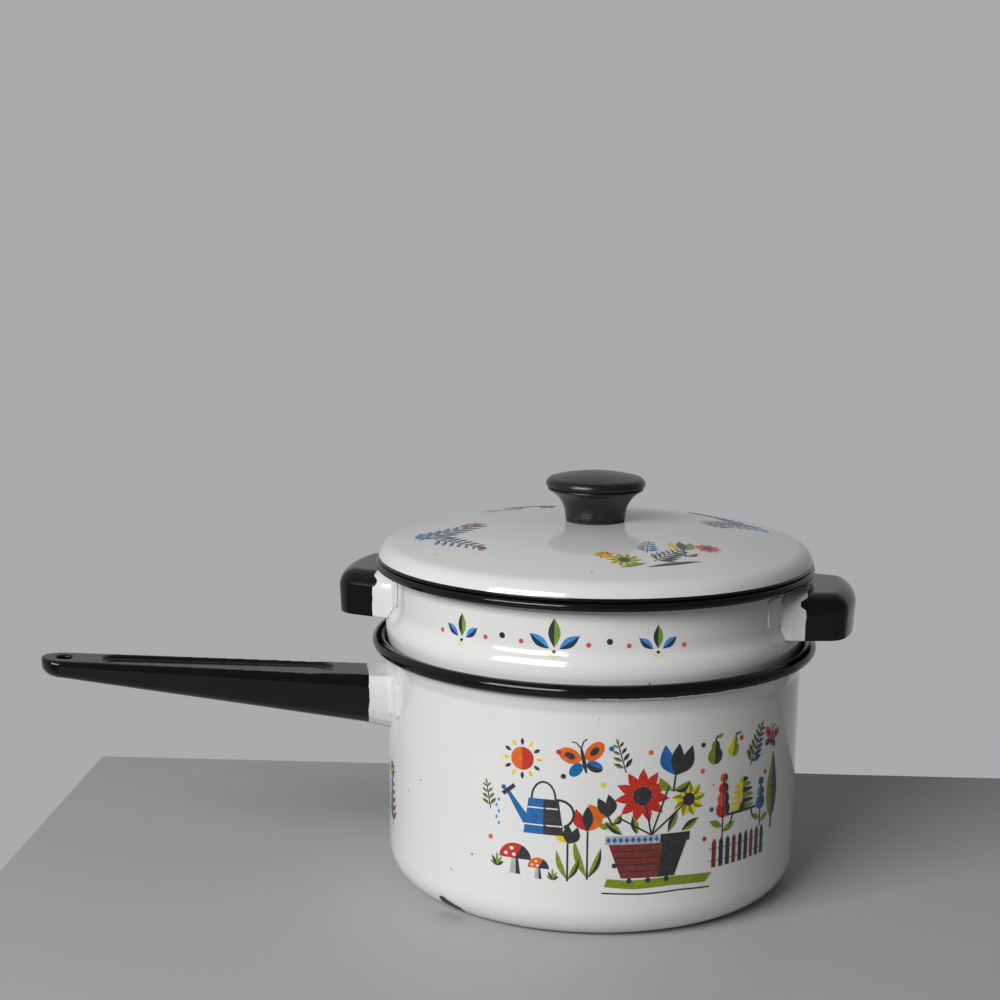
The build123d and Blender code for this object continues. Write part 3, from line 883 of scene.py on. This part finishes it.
def oval(middle, half_width, half_height, turn=0, start=0, end=360):
    """Outline of an oval or, between two angles, of the part that a chord cuts off."""
    degrees_each = 12
    count = max(8, int(abs(end - start) / degrees_each))
    closed = end - start >= 360
    outline = []
    for number in range(count if closed else count + 1):
        angle = math.radians(start + (end - start) * number / count)
        across, up = half_width * math.cos(angle), half_height * math.sin(angle)
        lean = math.radians(turn)
        outline.append((
            middle[0] + across * math.cos(lean) - up * math.sin(lean),
            middle[1] + across * math.sin(lean) + up * math.cos(lean),
        ))
    return outline


def leaf(root, tip, width, side=0, bend=0, fullness=1.0):
    """Pointed leaf from root to tip, or its left (1) or right (-1) half."""
    count = 9
    along = Vector((tip[0] - root[0], tip[1] - root[1]))
    across = Vector((-along.y, along.x)).normalized()

    def edge(share, way):
        swell = math.sin(math.pi * share ** fullness) * width / 2
        sway = math.sin(math.pi * share) * bend
        point = Vector(root) + along * share + across * (way * swell + sway)
        return (point.x, point.y)

    left = [edge(number / count, 1 if side >= 0 else 0) for number in range(count + 1)]
    right = [edge(number / count, -1 if side <= 0 else 0) for number in range(count - 1, 0, -1)]
    return left + right


def diamond(middle, half_width, half_height):
    """Small lozenge."""
    x, y = middle
    return [(x + half_width, y), (x, y + half_height), (x - half_width, y), (x, y - half_height)]


def moved(drawing, place, turn=0, size=1):
    """Drawing at another place, turned or scaled."""
    lean = math.radians(turn)
    result = []
    for colour_name, outline in drawing:
        points = []
        for x, y in outline:
            x, y = x * size, y * size
            points.append((
                place[0] + x * math.cos(lean) - y * math.sin(lean),
                place[1] + x * math.sin(lean) + y * math.cos(lean),
            ))
        result.append((colour_name, points))
    return result


def together(parts):
    """One drawing from others, each with its place and turn."""
    return [outline for drawing, place, turn in parts for outline in moved(drawing, place, turn)]


def sprig(leaf_height, leaf_width, side_root, side_tip, side_width, drop):
    """Three leaves, each with a dark half, over a small lozenge and a pale foot."""
    drawing = [
        ("leaf", leaf((0, 0), (0, leaf_height), leaf_width)),
        ("black", leaf((0, 0), (0, leaf_height), leaf_width, side=1)),
        ("black", diamond((0, -drop), drop * 0.62, drop * 0.54)),
    ]
    for way in (1, -1):
        root = (side_root[0] * way, side_root[1])
        tip = (side_tip[0] * way, side_tip[1])
        drawing.append(("sky", leaf(root, tip, side_width)))
        drawing.append(("navy", leaf(root, tip, side_width, side=-way)))
        drawing.append(("cream", oval((way * drop * 0.85, -drop * 1.85), drop * 0.6, drop * 0.38)))
    drawing.append(("cream", oval((0, -drop * 2.35), drop * 0.36, drop * 0.42)))
    return drawing


collar_profile = wall_profile("insert_shell", collar_low, collar_high)
collar_radius = collar_profile(collar_level)
band = moved(sprig(**big_sprig_sizes), (0, sprig_height))
for way in (1, -1):
    round_collar = collar_radius * way
    place = (math.radians(sprig_spacing) * round_collar, sprig_height)
    band += moved(sprig(**small_sprig_sizes), place)
    for angle, rise in rose_dots:
        place = (math.radians(angle) * round_collar, sprig_height + rise)
        band.append(("rose", oval(place, rose_dot_radius, rose_dot_radius)))
    place = (math.radians(black_dot[0]) * round_collar, sprig_height + black_dot[1])
    band.append(("black", oval(place, black_dot_radius, black_dot_radius)))
for name, middle in (("front_sprigs", sprig_middle), ("back_sprigs", sprig_middle + 180)):
    lay = on_wall(collar_profile, middle, collar_radius)
    lay_print(name, band, lay, "insert", sprig_slices, sprig_slice)

# Picture on the pan
# A larger transfer covers the front of the pan: a garden in flat colours with dark half shades, a
# flower pot in the middle, and a small sprig beside the handle. Sizes are in millimetres and degrees.
garden_angle = -86.0
garden_height = 53.0
garden_slices = [(-72, 78), (18, 90)]
garden_slice = 3
garden_dot_radius = 1.05
handle_sprig_angle = -173
handle_sprig_height = 26
handle_sprig_slices = [(-12, 12), (20, 64)]


def stroke(path, width):
    """Outline of a line of even width along a path."""
    left = []
    right = []
    for number, point in enumerate(path):
        before = Vector(path[max(number - 1, 0)])
        after = Vector(path[min(number + 1, len(path) - 1)])
        run = (after - before).normalized()
        side = Vector((-run.y, run.x)) * width / 2
        left.append((Vector(point) + side)[:])
        right.append((Vector(point) - side)[:])
    return left + right[::-1]


def arc(middle, across, up, start, end, count=10):
    """Points on part of an oval."""
    points = []
    for number in range(count + 1):
        angle = math.radians(start + (end - start) * number / count)
        points.append((middle[0] + across * math.cos(angle), middle[1] + up * math.sin(angle)))
    return points


def wedge(middle, across, up, start, end):
    """Slice of an oval, out of its middle."""
    return arc(middle, across, up, start, end) + [middle]


def tulip(height, width, near, far, base_share=0.6):
    """Flower of three petals, the middle one half dark, on a stem between two leaves."""
    base = height * base_share
    half = width / 2
    return [
        ("black", stroke([(0, 0), (0, base)], 0.75)),
        ("olive", leaf((0, 0.5), (-half * 1.15, base * 0.82), width * 0.30, bend=width * 0.10)),
        ("olive", leaf((0, 0.5), (half * 1.15, base * 0.66), width * 0.30, bend=-width * 0.10)),
        ("black", leaf((0, 0.5), (half * 1.15, base * 0.66), width * 0.30, side=-1, bend=-width * 0.10)),
        (near, leaf((0, base), (-half, height * 0.96), width * 0.50, bend=width * 0.13)),
        (far, leaf((0, base), (half, height * 0.96), width * 0.50, bend=-width * 0.13)),
        ("black", leaf((0, base), (0, height), width * 0.46)),
        (near, leaf((0, base + 0.6), (0, height - 1.2), width * 0.34, side=1)),
    ]


def daisy(radius, petals, near, far, middle="black", heart=0.30):
    """Round flower; each petal has a near and a far half."""
    drawing = []
    for number in range(petals):
        angle = 2 * math.pi * number / petals + math.pi / 2
        ray = (math.cos(angle), math.sin(angle))
        root = (ray[0] * radius * heart * 0.8, ray[1] * radius * heart * 0.8)
        tip = (ray[0] * radius, ray[1] * radius)
        width = 2 * math.pi * radius * 0.62 / petals
        drawing.append((near, leaf(root, tip, width, fullness=0.75)))
        drawing.append((far, leaf(root, tip, width, side=-1, fullness=0.75)))
    drawing.append((middle, oval((0, 0), radius * heart, radius * heart)))
    return drawing


def butterfly(size, upper, lower):
    """Dark body between open wings; the upper ones have spots and the lower right one is half dark."""
    drawing = [("black", oval((0, 0), size * 0.055, size * 0.40))]
    for way in (1, -1):
        wing = (way * size * 0.36, size * 0.20)
        tail = (way * size * 0.27, -size * 0.24)
        drawing.append((upper, oval(wing, size * 0.34, size * 0.22, turn=35 * way)))
        drawing.append((lower, oval(tail, size * 0.24, size * 0.16, turn=-35 * way)))
        drawing.append(("black", oval(wing, size * 0.16, size * 0.09, turn=35 * way)))
        feeler = [(0, size * 0.36), (way * size * 0.10, size * 0.54), (way * size * 0.22, size * 0.60)]
        drawing.append(("black", stroke(feeler, size * 0.035)))
    drawing.append(("black", oval((size * 0.27, -size * 0.24), size * 0.24, size * 0.16, -35, 180, 360)))
    return drawing


def mushroom(height, width, cap):
    """Grey stem under a spotted cap, both dark on the right."""
    cap_low = height * 0.5
    drawing = [
        ("grey", [(-width * 0.17, 0), (width * 0.17, 0), (width * 0.10, cap_low), (-width * 0.10, cap_low)]),
        ("black", [(width * 0.03, 0), (width * 0.17, 0), (width * 0.10, cap_low), (width * 0.03, cap_low)]),
        (cap, wedge((0, cap_low), width / 2, height * 0.5, 0, 180)),
        ("black", wedge((0, cap_low), width / 2, height * 0.5, 0, 62)),
    ]
    for across, up in ((-0.28, 0.64), (-0.10, 0.82), (-0.03, 0.62)):
        drawing.append(("paper", oval((width * across, height * up), width * 0.06, height * 0.055)))
    return drawing


def watering_can(width, height):
    """Tapered can, blue and dark, with white bands, a dripping spout, and two handles."""
    low, top = width * 0.27, width * 0.20
    spout = [
        (-low * 0.9, height * 0.10), (-width * 0.50, height * 0.66),
        (-width * 0.46, height * 0.70), (-low * 0.85, height * 0.34),
    ]
    spout_rose = [
        (-width * 0.58, height * 0.66), (-width * 0.54, height * 0.61),
        (-width * 0.38, height * 0.78), (-width * 0.41, height * 0.84),
    ]
    drawing = [
        ("blue", [(-low, 0), (0, 0), (0, height * 0.62), (-top, height * 0.62)]),
        ("black", [(0, 0), (low, 0), (top, height * 0.62), (0, height * 0.62)]),
        ("blue", spout),
        ("black", spout_rose),
        ("black", stroke(arc((0, height * 0.62), top * 0.8, height * 0.30, 0, 180), 0.8)),
        ("black", stroke(arc((top, height * 0.38), width * 0.20, height * 0.24, -75, 100), 1.0)),
    ]
    for up in (0.16, 0.46):
        drawing.append(("paper", stroke([(-low, height * up), (low, height * up)], 0.55)))
    drawing.append(("red", oval((-low * 0.45, height * 0.31), 1.5, 1.5)))
    drawing.append(("yellow", oval((low * 0.45, height * 0.31), 1.5, 1.5)))
    for number in range(5):
        drop = (-width * (0.62 + 0.035 * (number % 2)), height * (0.52 - number * 0.105))
        drawing.append(("sky", oval(drop, 0.45, 0.8)))
    return drawing


def beehive(width, height):
    """Coiled straw hive on a stand: stacked rounds, yellow on the left, olive or dark on the right."""
    rounds = 6
    drawing = []
    for number in range(rounds):
        share = (number + 0.5) / rounds
        middle = (0, height * share)
        half_width = width / 2 * math.sqrt(1 - share ** 2.4)
        half_height = height / rounds * 0.47
        drawing.append(("yellow", oval(middle, half_width, half_height)))
        right = "black" if number % 2 else "olive"
        drawing.append((right, oval(middle, half_width, half_height, start=-90, end=90)))
    drawing.append(("black", wedge((0, 0), width * 0.13, height * 0.24, 0, 180)))
    drawing.append(("black", stroke([(-width * 0.62, -0.5), (width * 0.62, -0.5)], 1.0)))
    for way in (1, -1):
        foot = [(way * width * 0.40, -0.8), (way * width * 0.50, -height * 0.36)]
        drawing.append(("black", stroke(foot, 0.8)))
    return drawing


def long_sprig(height, pairs, near, far, length=0.30):
    """Straight stem with pairs of half dark leaves that grow shorter towards the tip."""
    drawing = [("black", stroke([(0, 0), (0, height)], 0.45))]
    for number in range(pairs):
        share = (number + 0.7) / (pairs + 0.4)
        reach = height * length * (1.1 - share * 0.6)
        for way, colour in ((-1, near), (1, far)):
            root = (way * 0.3, height * share)
            tip = (way * reach, height * share + reach * 0.75)
            drawing.append((colour, leaf(root, tip, reach * 0.42)))
            drawing.append(("black", leaf(root, tip, reach * 0.42, side=way)))
    drawing.append((near, leaf((0, height * 0.93), (0, height * 1.14), height * 0.09)))
    return drawing


def cypress(height, width):
    """Pointed tree, olive with dark twigs on the left and dark on the right."""
    drawing = [
        ("black", stroke([(0, 0), (0, height * 0.2)], 1.1)),
        ("olive", leaf((0, height * 0.12), (0, height), width, fullness=0.7)),
        ("black", leaf((0, height * 0.12), (0, height), width, side=-1, fullness=0.7)),
    ]
    for number in range(5):
        up = height * (0.30 + number * 0.11)
        reach = width * (0.30 - number * 0.035)
        drawing.append(("black", stroke([(0, up), (-reach, up + reach * 0.6)], 0.4)))
        drawing.append(("leaf", stroke([(0, up + 1), (reach, up + 1 + reach * 0.6)], 0.4)))
    return drawing


def fence(posts, spacing, height):
    """Row of pointed pickets on two rails."""
    width = spacing * (posts - 1)
    drawing = []
    for number in range(posts):
        left = number * spacing - spacing * 0.30
        right = number * spacing + spacing * 0.30
        picket = [
            (left, 0), (right, 0), (right, height * 0.86), (number * spacing, height), (left, height * 0.86),
        ]
        drawing.append(("black" if number % 3 else "maroon", picket))
    for up in (0.22, 0.64):
        rail = stroke([(-spacing * 0.7, height * up), (width + spacing * 0.7, height * up)], height * 0.07)
        drawing.append(("grey", rail))
    return drawing


def hollyhock(height, size, colours):
    """Tall stem with round, half dark flowers that grow smaller towards the tip."""
    drawing = [("black", stroke([(0, 0), (0, height)], 0.6))]
    for number, colour in enumerate(colours):
        share = (number + 1) / len(colours)
        middle = (0, height * (0.30 + 0.68 * share))
        radius = size * (1.15 - 0.6 * share)
        drawing.append((colour, oval(middle, radius, radius)))
        drawing.append(("black", oval(middle, radius, radius, start=-60, end=80)))
        drawing.append(("yellow", oval(middle, radius * 0.28, radius * 0.28)))
    for way, up in ((1, 0.10), (-1, 0.18)):
        tip = (way * size * 1.9, height * (up + 0.13))
        drawing.append(("olive", leaf((0, height * up), tip, size * 0.8)))
    return drawing


def grass(size):
    """Tuft of five blades."""
    drawing = []
    blades = [(-55, "olive"), (-28, "black"), (0, "leaf"), (26, "olive"), (52, "black")]
    for number, (lean, colour) in enumerate(blades):
        angle = math.radians(90 - lean)
        reach = size * (1 - 0.18 * abs(number - 2))
        tip = (reach * math.cos(angle), reach * math.sin(angle))
        drawing.append((colour, leaf((0, 0), tip, size * 0.2)))
    return drawing


def pear(height, near, far):
    """Pear with a dark half, a stalk and a leaf."""
    return [
        (near, oval((0, height * 0.30), height * 0.30, height * 0.30)),
        (near, oval((0, height * 0.60), height * 0.17, height * 0.24)),
        (far, oval((0, height * 0.30), height * 0.30, height * 0.30, start=-90, end=90)),
        (far, oval((0, height * 0.60), height * 0.17, height * 0.24, start=-90, end=90)),
        ("black", stroke([(0, height * 0.82), (height * 0.05, height)], 0.6)),
        ("olive", leaf((height * 0.04, height * 0.92), (height * 0.34, height * 1.04), height * 0.13)),
    ]


def sun(radius):
    """Round face, orange and red, with pointed rays."""
    drawing = [("orange", oval((0, 0), radius * 0.56, radius * 0.56))]
    drawing.append(("red", oval((0, 0), radius * 0.56, radius * 0.56, start=-90, end=90)))
    for number in range(12):
        angle = math.radians(number * 30)
        root = (radius * 0.64 * math.cos(angle), radius * 0.64 * math.sin(angle))
        tip = (radius * math.cos(angle), radius * math.sin(angle))
        drawing.append(("black" if number % 2 else "yellow", leaf(root, tip, radius * 0.17)))
    return drawing


def flower_pot(width, height):
    """Maroon pot with a dark side, fine grooves and a banded rim, on three balls."""
    half, foot = width / 2, width * 0.34
    drawing = [
        ("maroon", [(-foot, 0), (foot, 0), (half, height * 0.8), (-half, height * 0.8)]),
        ("black", [(foot * 0.35, 0), (foot, 0), (half, height * 0.8), (half * 0.35, height * 0.8)]),
        ("grey", stroke([(-half * 1.08, height * 0.9), (half * 1.08, height * 0.9)], height * 0.2)),
        ("black", stroke([(half * 0.3, height * 0.9), (half * 1.08, height * 0.9)], height * 0.2)),
    ]
    for number in range(1, 5):
        share = number / 5
        reach = foot + (half - foot) * share
        line = [(-reach, height * 0.8 * share), (foot * 0.35, height * 0.8 * share)]
        drawing.append(("black", stroke(line, 0.45)))
    for number in range(9):
        across = -half + number * half * 0.15
        drawing.append(("blue", diamond((across, height * 0.9), half * 0.06, height * 0.07)))
    for across in (-0.7, 0, 0.7):
        drawing.append(("black", oval((foot * across, -1.1), 1.1, 1.1)))
    return drawing


def shaded_leaf(length, width):
    """Upright leaf with a dark left half."""
    return [
        ("olive", leaf((0, 0), (0, length), width)),
        ("black", leaf((0, 0), (0, length), width, side=1)),
    ]


# The garden, measured from the middle of the picture
turf_outline = [(-20, -2), (-8, -3.2), (8, -2.6), (24, -3.4), (27, 0.2), (10, 1.2), (-10, 0.6), (-19, 1.4)]
turf_line = [(-21, -4.6), (-4, -5.4), (12, -5.0), (26, -5.8)]
turf = [("olive", turf_outline), ("black", stroke(turf_line, 0.6))]
pot_stems = [("black", stroke([(0, 0), tip], 0.7)) for tip in ((-3, 14), (7, 20), (14, 12), (-14, 8))]
garden = together([
    (turf, (4, -27), 0),
    (flower_pot(33, 18), (2, -25.5), 0),
    (pot_stems, (3, -7.5), 0),
    (daisy(11.5, 11, "red", "maroon", "black", 0.34), (-1, 9), 0),
    (daisy(3.6, 8, "yellow", "orange", "yellow"), (-1, 9), 0),
    (daisy(7.6, 9, "yellow", "olive", "black", 0.36), (19, 6), 0),
    (tulip(20, 12, "blue", "black", 0.34), (12, 10), -6),
    (tulip(13, 9, "orange", "black", 0.3), (-13, -3), 28),
    (shaded_leaf(9, 3.2), (-9, -7), 52),
    (shaded_leaf(8, 3.2), (-3, -7), 14),
    (shaded_leaf(10, 3.2), (10, -7), -24),
    (shaded_leaf(9, 3.2), (16, -7), -58),
    (watering_can(31, 24), (-41, -8), 0),
    (sun(8.6), (-50, 23), 0),
    (butterfly(14, "orange", "blue"), (-25, 24), 12),
    (tulip(31, 9.5, "red", "orange", 0.66), (-23, -26), 0),
    (tulip(24, 8, "yellow", "black", 0.66), (-31, -27), 0),
    (mushroom(13, 14, "red"), (-53, -26), 0),
    (mushroom(9, 9, "orange"), (-43, -27), 0),
    (grass(6), (-61, -24), 0),
    (grass(5), (-37, -27), 0),
    (fence(9, 3.6, 12.5), (32, -25), 0),
    (hollyhock(26, 3.6, ["red", "rose", "red", "orange"]), (36, -13), 0),
    (hollyhock(20, 3.2, ["blue", "sky", "blue"]), (59, -13), 0),
    (beehive(14, 14), (47, -3), 0),
    (pear(12, "olive", "black"), (31, 19), 0),
    (pear(10, "yellow", "olive"), (40, 21), -10),
    (long_sprig(17, 6, "olive", "blue"), (51, 15), -24),
    (butterfly(9, "rose", "maroon"), (66, 24), -15),
    (cypress(34, 8.5), (68, -16), 0),
    (long_sprig(13, 4, "leaf", "navy"), (-8, 19), 16),
    (long_sprig(11, 4, "olive", "olive"), (-64, 0), 10),
])
for across, up, colour in (
    (-35, 27, "red"), (-14, 29, "blue"), (-33, 17, "black"), (2, 27, "orange"), (-58, 10, "blue"),
    (25, 28, "black"), (30, 0, "blue"), (45, 28, "red"), (58, 29, "yellow"), (62, 10, "red"),
    (-17, 14, "yellow"), (27, -12, "red"), (-12, -20, "black"), (-64, -12, "orange"), (25, 17, "rose"),
):
    garden.append((colour, oval((across, up), garden_dot_radius, garden_dot_radius)))

pan_radius = pan_profile(garden_height)
lay = on_wall(pan_profile, garden_angle, pan_radius)
lay_print("pan_garden", moved(garden, (0, garden_height)), lay, "lower_pan", garden_slices, garden_slice)
handle_sprig = together([
    (long_sprig(20, 5, "blue", "red"), (0, 0), 0),
    (daisy(4.2, 8, "red", "black", "yellow"), (0, 25), 0),
])
handle_sprig = moved(handle_sprig, (0, handle_sprig_height))
lay = on_wall(pan_profile, handle_sprig_angle, pan_radius)
lay_print("pan_sprig", handle_sprig, lay, "lower_pan", handle_sprig_slices, garden_slice)

# Pictures on the lid
# The same kind of transfer in a smaller size lies four times round the dome, bunches and branches
# in turn, with their feet towards the rim. Sizes are in millimetres and degrees.
dome_low = 20
dome_high = 94
lid_picture_radius = 62.0
lid_picture_angle = -73.5
lid_picture_slices = [(-44, 44), (-28, 28)]
lid_picture_slice = 4
branch_size = 1.35


def dome_profile(node_name, low, high, count=40):
    """Height of a round cover at any radius, read from the CAD node, all in millimetres."""
    tree = cad_surface(node_name)
    down = Vector((0, 0, -1))
    heights = []
    for number in range(count + 1):
        radius = low + (high - low) * number / count
        above = [Vector(around(angle, radius * mm, 1)) for angle in ray_angles]
        heights.append(max(tree.ray_cast(start, down)[0].z for start in above) / mm)
    return between(heights, low, high)


def on_dome(profile, angle, middle_radius):
    """Function that lays a drawing, in millimetres, on the dome with its foot towards the rim."""
    turn = math.radians(angle)

    def lay(point):
        across, up, lift = point
        out = middle_radius - up
        x = out * math.cos(turn) - across * math.sin(turn)
        y = out * math.sin(turn) + across * math.cos(turn)
        return Vector((x, y, profile(math.hypot(x, y)) + lift)) * mm

    return lay


lid_profile = dome_profile("lid_shell", dome_low, dome_high)
ground_leaves = [("navy", leaf((-14, -13), (12, -12), 2.6)), ("olive", leaf((-24, -10), (-12, -9), 3))]
bunch = together([
    (daisy(7.5, 10, "yellow", "olive", "black", 0.34), (-19, -3), 0),
    (daisy(4.5, 8, "yellow", "orange", "yellow"), (-24, 5), 0),
    (long_sprig(20, 6, "grey", "navy"), (-8, -8), -62),
    (long_sprig(15, 5, "grey", "sky"), (-6, 2), -30),
    (tulip(20, 9, "yellow", "olive", 0.4), (8, -6), -20),
    (daisy(6.0, 9, "rose", "maroon", "black", 0.36), (23, 3), 0),
    (ground_leaves, (0, 0), 0),
])
leaf_and_berry = [("blue", leaf((-18, -8), (-8, -10), 5)), ("rose", oval((19, -1), 1.4, 1.0))]
branch = together([
    (long_sprig(22, 6, "sky", "grey", 0.34), (-8, -12), 8),
    (long_sprig(22, 6, "navy", "sky", 0.2), (-4, -8), -70),
    (daisy(4.0, 8, "rose", "black", "yellow"), (-14, 8), 0),
    (leaf_and_berry, (0, 0), 0),
])
branch = moved(branch, (0, 0), size=branch_size)
for number, (drawing, turn) in enumerate(((bunch, 0), (branch, -92), (bunch, 180), (branch, 90))):
    lay = on_dome(lid_profile, lid_picture_angle + turn, lid_picture_radius)
    lay_print(f"lid_picture_{number + 1}", drawing, lay, "lid", lid_picture_slices, lid_picture_slice)

# Knob
# One moulding of black phenolic with a satin gloss, on a fibre disc; a steel screw and washer hold
# it from inside the lid, in a brass bush.
phenolic = (0.008, 0.008, 0.0095, 1)
worn_phenolic = (0.03, 0.029, 0.028, 1)
fibre = (0.02, 0.02, 0.02, 1)
brass = (0.60, 0.42, 0.18, 1)
zinc = (0.55, 0.55, 0.56, 1)
tarnish = (0.30, 0.27, 0.22, 1)

for name, colour, rough in (("knob", phenolic, 0.20), ("knob_gasket", fibre, 0.8)):
    finish = Finish(f"{name}_finish")
    worn = finish.mix(colour, worn_phenolic, finish.noise(160, 4).step(0.5, 0.8))
    shine = finish.noise(120, 3) * 0.12 + rough
    normal = finish.bump(finish.noise(900, 2) * (0.004 * mm))
    dress(name, finish.surface({"Base Color": worn, "Roughness": shine, "Normal": normal}))
for name, colour in (("knob_bush", brass), ("knob_washer", zinc), ("knob_screw", zinc)):
    finish = Finish(f"{name}_finish")
    tarnished = finish.mix(colour, tarnish, finish.noise(200, 4).step(0.5, 0.8))
    shine = finish.noise(300, 3) * 0.2 + 0.22
    dress(name, finish.surface({"Base Color": tarnished, "Roughness": shine, "Metallic": 1}))
